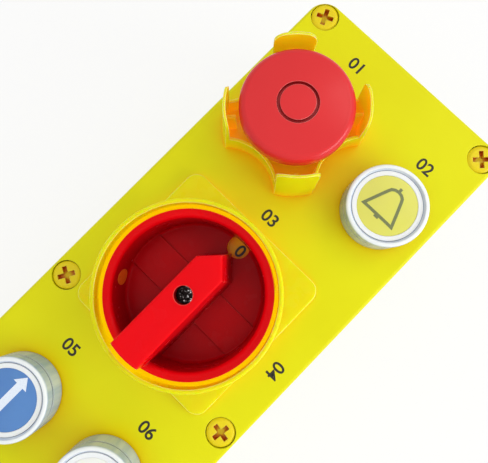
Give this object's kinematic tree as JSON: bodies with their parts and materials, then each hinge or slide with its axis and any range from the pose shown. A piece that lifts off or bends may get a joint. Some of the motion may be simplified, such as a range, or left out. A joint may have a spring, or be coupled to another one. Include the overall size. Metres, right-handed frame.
{
  "type": "elevator inspection box",
  "caption": "Long yellow plastic control station with a guarded red emergency stop, a shielded red mode switch knob, round push buttons, cover screws and a cable gland.",
  "frame": {"origin": "centre of the flat back face", "axes": "+Z out of the cover, towards the person who uses it; +Y along the box, towards the emergency stop; +X across the box, to the right when +Y is up"},
  "size_m": [0.097, 0.3242, 0.1134],
  "materials": {
    "yellow_shell": "moulded, soft satin gloss",
    "yellow_guard": "moulded, glossy",
    "yellow_collar": "moulded, glossy",
    "yellow_screw": "moulded, glossy",
    "red_button": "moulded, satin",
    "red_knob": "moulded, glossy",
    "silver_bezel": "moulded, silver lacquer",
    "lens_yellow": "moulded, satin",
    "lens_blue": "moulded, satin",
    "lens_white": "moulded, satin",
    "lens_black": "moulded, satin",
    "white_cup": "moulded, satin",
    "black_plastic": "moulded, matt",
    "grey_plastic": "moulded, matt",
    "black_rubber": "matt",
    "brass": "turned or stamped",
    "black_steel": "black oxide",
    "zinc_steel": "zinc plated",
    "spring_steel": "drawn wire"
  },
  "bodies": {
    "housing": {"base_box": "yellow_shell", "cover": "yellow_shell", "stop_guard": "yellow_guard", "switch_collar": "yellow_collar", "cover_screws": "yellow_screw", "alarm_bezel": "silver_bezel", "run_bezel": "silver_bezel", "up_bezel": "silver_bezel", "down_bezel": "silver_bezel", "alarm_contact_block": "black_plastic", "run_contact_block": "black_plastic", "up_contact_block": "black_plastic", "down_contact_block": "black_plastic", "stop_contact_block": "black_plastic", "switch_body": "black_plastic", "switch_end_plate": "black_plastic", "stop_bushing": "black_plastic", "panel_nuts": "black_plastic", "terminal_strip": "grey_plastic", "gland_body": "grey_plastic", "gland_nut": "grey_plastic", "gland_locknut": "grey_plastic", "cover_gasket": "black_rubber", "panel_gaskets": "black_rubber", "gland_washer": "black_rubber", "gland_seal": "black_rubber", "screw_inserts": "brass", "make_contacts": "brass", "break_contacts": "brass", "terminal_screws": "brass", "switch_fixings": "zinc_steel", "clamp_screws": "zinc_steel", "terminal_fixings": "zinc_steel", "alarm_spring": "spring_steel", "run_spring": "spring_steel", "up_spring": "spring_steel", "down_spring": "spring_steel", "stop_spring": "spring_steel"},
    "stop_button": {"stop_head": "red_button", "stop_cap": "red_button", "stop_stem": "grey_plastic", "stop_contact_bridge": "brass"},
    "alarm_button": {"alarm_lens": "lens_yellow", "alarm_plunger": "white_cup", "alarm_contact_bridge": "brass"},
    "run_button": {"run_lens": "lens_blue", "run_plunger": "white_cup", "run_contact_bridge": "brass"},
    "up_button": {"up_lens": "lens_white", "up_plunger": "white_cup", "up_contact_bridge": "brass"},
    "down_button": {"down_lens": "lens_black", "down_plunger": "white_cup", "down_contact_bridge": "brass"},
    "switch_rotor": {"switch_knob": "red_knob", "knob_screw": "black_steel", "switch_spindle": "zinc_steel", "switch_cam": "grey_plastic"}
  },
  "joints": [
    {"name": "stop_push", "type": "slide", "parent": "housing", "child": "stop_button", "axis": [0, 0, -1], "range_m": [0, 0.0055], "deforming": ["stop_spring"]},
    {"name": "alarm_push", "type": "slide", "parent": "housing", "child": "alarm_button", "axis": [0, 0, -1], "range_m": [0, 0.004], "stiffness_N_per_m": 900, "springref_m": -0.0025, "deforming": ["alarm_spring"]},
    {"name": "run_push", "type": "slide", "parent": "housing", "child": "run_button", "axis": [0, 0, -1], "range_m": [0, 0.004], "stiffness_N_per_m": 900, "springref_m": -0.0025, "deforming": ["run_spring"]},
    {"name": "up_push", "type": "slide", "parent": "housing", "child": "up_button", "axis": [0, 0, -1], "range_m": [0, 0.004], "stiffness_N_per_m": 900, "springref_m": -0.0025, "deforming": ["up_spring"]},
    {"name": "down_push", "type": "slide", "parent": "housing", "child": "down_button", "axis": [0, 0, -1], "range_m": [0, 0.004], "stiffness_N_per_m": 900, "springref_m": -0.0025, "deforming": ["down_spring"]},
    {"name": "switch_turn", "type": "hinge", "parent": "housing", "child": "switch_rotor", "pos_m": [-0.0012, 0.0309, 0.075], "axis": [0, 0, -1], "range_deg": [0, 90]}
  ]
}
